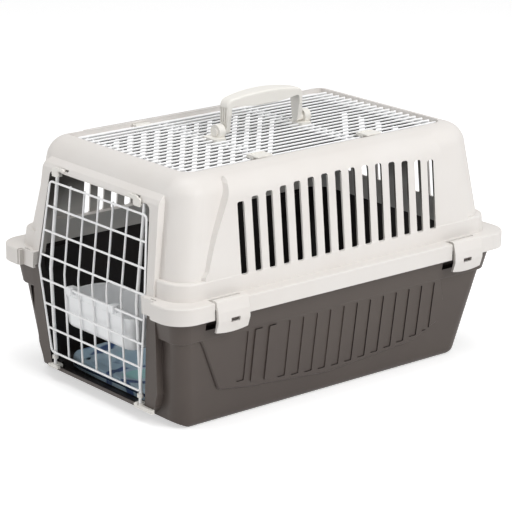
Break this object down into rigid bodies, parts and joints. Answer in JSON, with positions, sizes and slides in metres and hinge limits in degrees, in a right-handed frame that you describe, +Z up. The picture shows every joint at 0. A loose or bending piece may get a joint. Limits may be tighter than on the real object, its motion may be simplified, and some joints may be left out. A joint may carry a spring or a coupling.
{
  "type": "pet carrier",
  "caption": "Two-part moulded pet carrier with vent slots, a hinged wire front door, a hinged wire roof door with a folding handle, side clips, a hung bowl and a floor mat.",
  "frame": {"origin": "centre of the bounding box's footprint, on the surface the carrier stands on", "axes": "+Z up, +Y along the length towards the rear, the front door faces -Y, +X towards the carrier's left side as seen from behind the door looking out"},
  "size_m": [0.3398, 0.48, 0.3142],
  "materials": {
    "ivory_plastic": "fine satin moulded surface",
    "brown_plastic": "fine satin moulded surface",
    "coated_wire": "white coating, slightly glossy",
    "bowl_plastic": "translucent white",
    "mat_fabric": "printed woven cloth over padding"
  },
  "bodies": {
    "shells": {"lower_shell": "brown_plastic", "upper_shell": "ivory_plastic", "roof_hinge_front": "ivory_plastic", "roof_hinge_rear": "ivory_plastic", "sill_bracket_left": "ivory_plastic", "sill_bracket_right": "ivory_plastic", "mat": "mat_fabric"},
    "clip_front_right": {"side_clip_front_right": "ivory_plastic"},
    "clip_rear_right": {"side_clip_rear_right": "ivory_plastic"},
    "clip_front_left": {"side_clip_front_left": "ivory_plastic"},
    "clip_rear_left": {"side_clip_rear_left": "ivory_plastic"},
    "roof_door": {"roof_frame_wire": "coated_wire", "roof_long_wires": "coated_wire", "roof_cross_wires": "coated_wire", "handle_bracket_front": "ivory_plastic", "handle_bracket_rear": "ivory_plastic"},
    "roof_latch_front": {"roof_latch_front": "ivory_plastic"},
    "roof_latch_rear": {"roof_latch_rear": "ivory_plastic"},
    "handle": {"handle": "ivory_plastic"},
    "front_door": {"door_frame_wire": "coated_wire", "door_cross_wires": "coated_wire", "door_upright_wires": "coated_wire", "door_rod_left": "coated_wire", "door_rod_right": "coated_wire", "door_collar_left": "ivory_plastic", "door_collar_right": "ivory_plastic"},
    "hook_left": {"door_hook_left": "ivory_plastic"},
    "hook_right": {"door_hook_right": "ivory_plastic"},
    "bowl": {"bowl": "bowl_plastic"}
  },
  "joints": [
    {"name": "clip_front_right_swing", "type": "hinge", "parent": "shells", "child": "clip_front_right", "pos_m": [0.1615, -0.168, 0.1435], "axis": [0, -1, 0], "range_deg": [0, 100]},
    {"name": "clip_rear_right_swing", "type": "hinge", "parent": "shells", "child": "clip_rear_right", "pos_m": [0.1615, 0.168, 0.1435], "axis": [0, -1, 0], "range_deg": [0, 100]},
    {"name": "clip_front_left_swing", "type": "hinge", "parent": "shells", "child": "clip_front_left", "pos_m": [-0.1615, -0.168, 0.1435], "axis": [0, 1, 0], "range_deg": [0, 100]},
    {"name": "clip_rear_left_swing", "type": "hinge", "parent": "shells", "child": "clip_rear_left", "pos_m": [-0.1615, 0.168, 0.1435], "axis": [0, 1, 0], "range_deg": [0, 100]},
    {"name": "roof_door_swing", "type": "hinge", "parent": "shells", "child": "roof_door", "pos_m": [-0.1035, 0.0022, 0.2635], "axis": [0, -1, 0], "range_deg": [0, 90]},
    {"name": "roof_latch_front_slide", "type": "slide", "parent": "roof_door", "child": "roof_latch_front", "axis": [1, 0, 0], "range_m": [0, 0.004]},
    {"name": "roof_latch_rear_slide", "type": "slide", "parent": "roof_door", "child": "roof_latch_rear", "axis": [1, 0, 0], "range_m": [0, 0.004]},
    {"name": "handle_swing", "type": "hinge", "parent": "roof_door", "child": "handle", "pos_m": [0, 0.0068, 0.274], "axis": [0, 1, 0], "range_deg": [-78, 78]},
    {"name": "front_door_swing", "type": "hinge", "parent": "shells", "child": "front_door", "pos_m": [-0.0786, -0.21824, 0.13], "axis": [0, -0.0364, -0.9993], "range_deg": [0, 110]},
    {"name": "hook_left_slide", "type": "slide", "parent": "shells", "child": "hook_left", "axis": [1, 0, 0], "range_m": [0, 0.0065]},
    {"name": "hook_right_slide", "type": "slide", "parent": "shells", "child": "hook_right", "axis": [1, 0, 0], "range_m": [0, 0.0065]},
    {"name": "bowl_lift", "type": "slide", "parent": "front_door", "child": "bowl", "axis": [0, 0, 1], "range_m": [0, 0.015]}
  ]
}
